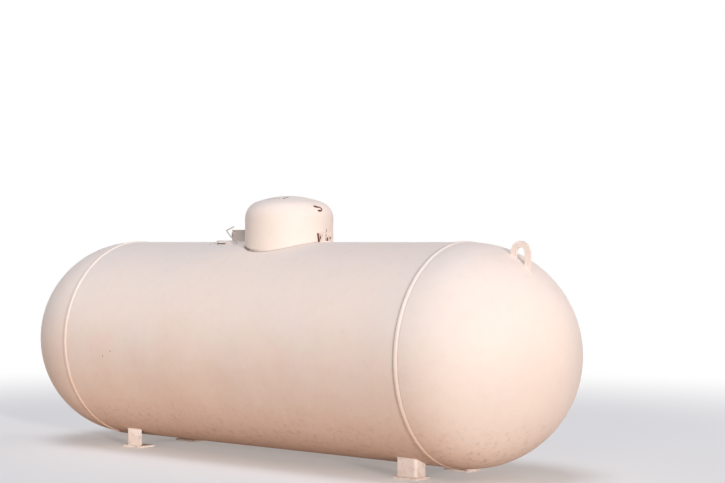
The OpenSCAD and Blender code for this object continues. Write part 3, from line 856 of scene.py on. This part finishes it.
# %% [markdown]
# The lifting lug is an arch, so it has two feet and a closed bead round each. In the photo its
# lower end at the front runs out into a broad patch of weld. Here that patch is four short beads
# from points along the foot to one point on the head, each thinner towards its end.

# %% Beads of the lug
LUG_BEAD_R = 3.2 * MM
LUG_LEG_W = 26.0 * MM
LUG_RUN_OUT = Vector((20.0, -17.0)) * MM
LUG_PASSES = 4
LUG_PASS_R = 5.0 * MM
LUG_PASS_TAPER = 0.4


def foot_route(x_low, x_high, y_low, y_high):
    """Closed route round a four-cornered foot, laid on the tank."""
    plan = [(x_low, y_low), (x_high, y_low), (x_high, y_high), (x_low, y_high)]
    return [(x, y, surface_z(x, y)) for x, y in even_route(plan)]


lug_low, lug_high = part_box("lifting_lug")
lug_feet = [(lug_low.x, lug_low.x + LUG_LEG_W), (lug_high.x - LUG_LEG_W, lug_high.x)]
lug_routes = [foot_route(*foot, lug_low.y, lug_high.y) for foot in lug_feet]
finish_piece(weld_bead(lug_routes, LUG_BEAD_R), "lug_weld", "tank", "tank_paint")

foot_corner = Vector((lug_high.x, lug_low.y))
passes = []
for i in range(LUG_PASSES):
    start = foot_corner - Vector((LUG_LEG_W * i / (LUG_PASSES - 1), 0))
    plan = even_route([start, foot_corner + LUG_RUN_OUT], closed=False)
    passes.append([(x, y, surface_z(x, y)) for x, y in plan])
lug_run_out = weld_bead(passes, LUG_PASS_R, closed=False, taper=LUG_PASS_TAPER)
finish_piece(lug_run_out, "lug_weld_end", "tank", "tank_paint")

# %% [markdown]
# The brackets of the hinge and the latch stand on feet shorter than their boxes, so where each foot
# starts and ends along X is given in millimetres. Its other two sides come from the box.

# %% Beads of the brackets
BRACKET_BEAD_R = 2.3 * MM
BRACKET_FOOT = {"hinge_bracket": (-338.0, -217.5), "latch_bracket": (211.5, 239.0)}

bracket_routes = []
for bracket, (start, end) in BRACKET_FOOT.items():
    low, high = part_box(bracket)
    bracket_routes.append(foot_route(start * MM, end * MM, low.y, high.y))
bracket_welds = weld_bead(bracket_routes, BRACKET_BEAD_R)
finish_piece(bracket_welds, "bracket_welds", "tank", "bracket_paint")

# %% [markdown]
# The low strap beside the hinge is welded down at its two ends only. It lies a few degrees towards
# the front, so its ends are measured across the shell, from the strap's middle line. One end has a
# cut corner, and its bead stops short of it.

# %% Beads of the strap
STRAP_TURN = math.radians(10)
STRAP_W = 40.0 * MM
STRAP_CORNER = 24.0 * MM
STRAP_BEAD_R = 4.0 * MM


def across_strap(x, start, end):
    """Route across the strap at x, between two distances from its middle line."""
    line = even_route([(start, 0), (end, 0)], closed=False)
    return [on_shell(x, math.asin(place.x / TANK_R) - STRAP_TURN) for place in line]


strap_low, strap_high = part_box("plate_bracket")
half = STRAP_W / 2
strap_routes = [
    across_strap(strap_low.x, STRAP_CORNER - half, half),
    across_strap(strap_high.x, -half, half),
]
strap_welds = weld_bead(strap_routes, STRAP_BEAD_R, closed=False)
finish_piece(strap_welds, "strap_welds", "tank", "bracket_paint")

# %% [markdown]
# Each valve stands on a coupling that is welded through the shell, and so does the gauge. In plan
# the bead round it is a circle, and in height it bends over the shell. The radii, in millimetres,
# are those of the couplings.

# %% Beads of the couplings
COUPLING_BEAD_R = 3.5 * MM
COUPLING_R = {
    "fill_valve": 27.0, "vapour_valve": 20.5, "liquid_valve": 20.5,
    "relief_valve": 23.5, "service_handwheel": 20.5, "gauge_dial": 31.0,
}


def coupling_route(fitting, radius):
    low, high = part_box(fitting)
    middle = (low + high) / 2

    def place(turn):
        x = middle.x + radius * math.cos(turn)
        y = middle.y + radius * math.sin(turn)
        return x, y, surface_z(x, y)

    return ring_route(radius, place)


coupling_routes = [coupling_route(fitting, radius * MM) for fitting, radius in COUPLING_R.items()]
coupling_welds = weld_bead(coupling_routes, COUPLING_BEAD_R)
finish_piece(coupling_welds, "coupling_welds", "tank", "tank_paint")

# %% [markdown]
# Two plates are welded to the hood itself, the hinge's arm and the latch's tab. Their beads follow
# the hood's round side and ride on the hood, so they swing away with it.

# %% Beads of the hood
HOOD_BEAD_R = 2.2 * MM


def on_hood(side, y, z):
    """Place on the hood's side, left for a side of -1 and right for 1."""
    return side * math.sqrt(HOOD_R**2 - y**2), y, z


low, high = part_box("hood_hinge_arm")
arm_corners = [(low.y, low.z), (low.y, high.z), (high.y, high.z), (high.y, low.z)]
arm_route = [on_hood(-1, y, z) for y, z in even_route(arm_corners, closed=False)]
arm_weld = weld_bead([arm_route], HOOD_BEAD_R, closed=False)
finish_piece(arm_weld, "hood_arm_weld", "hood", "hood_paint")

low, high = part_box("hood_latch_tab")
tab_corners = [(low.y, low.z), (high.y, low.z), (high.y, high.z), (low.y, high.z)]
tab_route = [on_hood(1, y, z) for y, z in even_route(tab_corners)]
tab_weld = weld_bead([tab_route], HOOD_BEAD_R)
finish_piece(tab_weld, "hood_tab_weld", "hood", "hood_paint")

# %% [markdown]
# ## Under the hood
#
# Whoever opens the hood looks for one thing first, the gauge. Its face has a scale of per cent with
# plain numbers and a pointer. Numbers are text objects, made a mesh each and laid on the face. The
# strokes of the scale are thin blocks, one for every five per cent, each second one longer.

# %% Gauge face
dial_low, dial_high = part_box("gauge_dial")
DIAL_MIDDLE = (dial_low + dial_high) / 2
DIAL_R = (dial_high.x - dial_low.x) / 2
RIM_H = 2.0 * MM
FACE_Z = dial_high.z - RIM_H
SCALE_R = 0.80 * DIAL_R
SCALE_START = math.radians(-130)
SCALE_SWEEP = math.radians(260)
NUMBER_R = 0.58 * DIAL_R
NUMBER_SIZE = 4.6 * MM
NUMBERS = range(10, 100, 10)
LONG_STROKE = 3.2 * MM
SHORT_STROKE = 1.8 * MM
STROKE_W = 0.5 * MM
STROKE_STEP = 5
PRINT_T = 0.15 * MM


def scale_turn(percent):
    """Angle of a mark, clockwise from the rear, which is upwards for who reads the gauge."""
    return SCALE_START + SCALE_SWEEP * percent / 100


def on_face(turn, radius):
    x = DIAL_MIDDLE.x + radius * math.sin(turn)
    y = DIAL_MIDDLE.y + radius * math.cos(turn)
    return Vector((x, y, FACE_Z))


def join(pieces):
    """Several meshes as one, with their places already in them."""
    for piece in pieces:
        pick_only(piece)
        bpy.ops.object.transform_apply(location=True, rotation=True, scale=True)
    bpy.ops.object.select_all(action="DESELECT")
    for piece in pieces:
        piece.select_set(True)
    bpy.context.view_layer.objects.active = pieces[0]
    bpy.ops.object.join()
    return pieces[0]


def number_on_dial(number):
    bpy.ops.object.select_all(action="DESELECT")
    bpy.ops.object.text_add(location=on_face(scale_turn(number), NUMBER_R))
    text = bpy.context.object
    text.data.body = str(number)
    text.data.size = NUMBER_SIZE
    text.data.align_x = "CENTER"
    text.data.align_y = "CENTER"
    text.data.extrude = PRINT_T
    bpy.ops.object.convert(target="MESH")
    return text


def stroke_on_dial(percent, length):
    """A raised stroke of the scale, pointing at the middle."""
    turn = scale_turn(percent)
    place = on_face(turn, SCALE_R)
    bpy.ops.object.select_all(action="DESELECT")
    bpy.ops.mesh.primitive_cube_add(size=1, location=place, rotation=(0, 0, -turn))
    tick = bpy.context.object
    tick.scale = (STROKE_W, length, 2 * PRINT_T)
    return tick


print_on_dial = [number_on_dial(number) for number in NUMBERS]
for percent in range(0, 101, STROKE_STEP):
    length = SHORT_STROKE if percent % (2 * STROKE_STEP) else LONG_STROKE
    print_on_dial.append(stroke_on_dial(percent, length))
finish_piece(join(print_on_dial), "gauge_scale", "tank", "black_cap")

# %% [markdown]
# The pointer is a flat disc pulled out to a tip: the corner nearest the scale is dragged out to it
# and the faces beside it follow. A small boss over the middle holds it on its pin. Both get a fine
# bevel, because an edge without one catches no light.

# %% Gauge pointer
READING = 62
POINTER_SIDES = 24
POINTER_R = 2.6 * MM
POINTER_T = 0.5 * MM
POINTER_LIFT = 1.0 * MM
POINTER_BEVEL = 0.15 * MM
TIP_SHARE = 0.98
BOSS_R = 0.7 * POINTER_R
BOSS_H = 2.0 * MM
BOSS_BEVEL = 0.3 * MM


def disc(radius, depth):
    bpy.ops.object.select_all(action="DESELECT")
    bpy.ops.mesh.primitive_cylinder_add(vertices=POINTER_SIDES, radius=radius, depth=depth)
    return bpy.context.object


def bevel_all(width, segments):
    """Bevels every edge of the active piece."""
    bpy.ops.object.mode_set(mode="EDIT")
    bpy.ops.mesh.select_all(action="SELECT")
    bpy.ops.mesh.bevel(offset=width, segments=segments)
    bpy.ops.object.mode_set(mode="OBJECT")


pointer = disc(POINTER_R, POINTER_T)
bpy.ops.object.mode_set(mode="EDIT")
bpy.ops.mesh.select_all(action="DESELECT")
bpy.ops.object.mode_set(mode="OBJECT")
for corner in pointer.data.vertices:
    corner.select = corner.co.y > POINTER_R * TIP_SHARE
bpy.ops.object.mode_set(mode="EDIT")
bpy.ops.transform.translate(value=(0, SCALE_R - POINTER_R, 0))
bpy.ops.object.mode_set(mode="OBJECT")
bevel_all(POINTER_BEVEL, segments=1)
pointer.location = on_face(0, 0) + Vector((0, 0, POINTER_LIFT))
pointer.rotation_euler.z = -scale_turn(READING)

boss = disc(BOSS_R, BOSS_H)
bevel_all(BOSS_BEVEL, segments=2)
boss.location = pointer.location
finish_piece(join([pointer, boss]), "gauge_pointer", "tank", "pointer_red")

# %% [markdown]
# A plastic strap keeps each yellow cap from getting lost. It is a flat band: a ring lies round the
# valve's neck, an arch rises beside the cap, and a second ring lies on the crown. Each is a curve
# drawn flat, then given a width, because a band bends in one direction only.

# %% Cap straps
BAND_W = 6.0 * MM
BAND_T = 0.8 * MM
NECK_INSET = 3.0 * MM
CROWN_SHARE = 0.35
CROWN_BAND_W = 2.0 * MM
CROWN_LIFT = 1.0 * MM
ARCH_OUT = 13.0 * MM
ARCH_STEPS = 14
RING_STEPS = 40
STRAP_AZIMUTH = {"fill_valve_cap": -60, "vapour_valve_cap": 70}


def band(points, closed, width):
    """A flat band that stands on a line drawn in the XY plane."""
    bpy.ops.object.select_all(action="DESELECT")
    bpy.ops.curve.primitive_bezier_curve_add()
    strip = bpy.context.object
    strip.data.dimensions = "2D"
    strip.data.splines.clear()
    spline = strip.data.splines.new("POLY")
    spline.points.add(len(points) - 1)
    spline.use_cyclic_u = closed
    for point, (x, y) in zip(spline.points, points):
        point.co = (x, y, 0, 1)
    strip.data.fill_mode = "NONE"
    strip.data.extrude = width / 2
    bpy.ops.object.convert(target="MESH")
    thick = strip.modifiers.new("thickness", "SOLIDIFY")
    thick.thickness = BAND_T
    thick.offset = 0
    bpy.ops.object.modifier_apply(modifier=thick.name)
    return strip


def circle_points(radius):
    turns = [2 * math.pi * i / RING_STEPS for i in range(RING_STEPS)]
    return [(radius * math.cos(turn), radius * math.sin(turn)) for turn in turns]


def arch_points(neck_r, crown_r, rise):
    """Side view of the arch: out from the neck ring, past the cap and back over its crown."""
    turns = [math.pi * i / ARCH_STEPS for i in range(ARCH_STEPS + 1)]
    arch = [(neck_r + ARCH_OUT * math.sin(a), rise * (1 - math.cos(a)) / 2) for a in turns]
    return arch + [(crown_r, rise)]


def cap_strap(cap, azimuth):
    """Both rings and the arch for one cap. The arch stands at this angle from the middle."""
    low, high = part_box(cap)
    middle = (low + high) / 2
    cap_r = (high.x - low.x) / 2
    neck_r = cap_r - NECK_INSET
    crown_r = cap_r * CROWN_SHARE
    neck_z = low.z - BAND_W / 2
    crown_z = high.z + CROWN_LIFT
    neck = band(circle_points(neck_r), True, BAND_W)
    neck.location = (middle.x, middle.y, neck_z)
    crown = band(circle_points(crown_r), True, CROWN_BAND_W)
    crown.location = (middle.x, middle.y, crown_z)
    arch = band(arch_points(neck_r, crown_r, crown_z - neck_z), False, BAND_W)
    arch.location = (middle.x, middle.y, neck_z)
    arch.rotation_euler = (math.pi / 2, 0, azimuth)
    return join([neck, crown, arch])


straps = [cap_strap(cap, math.radians(azimuth)) for cap, azimuth in STRAP_AZIMUTH.items()]
finish_piece(join(straps), "cap_straps", "tank", "black_cap")
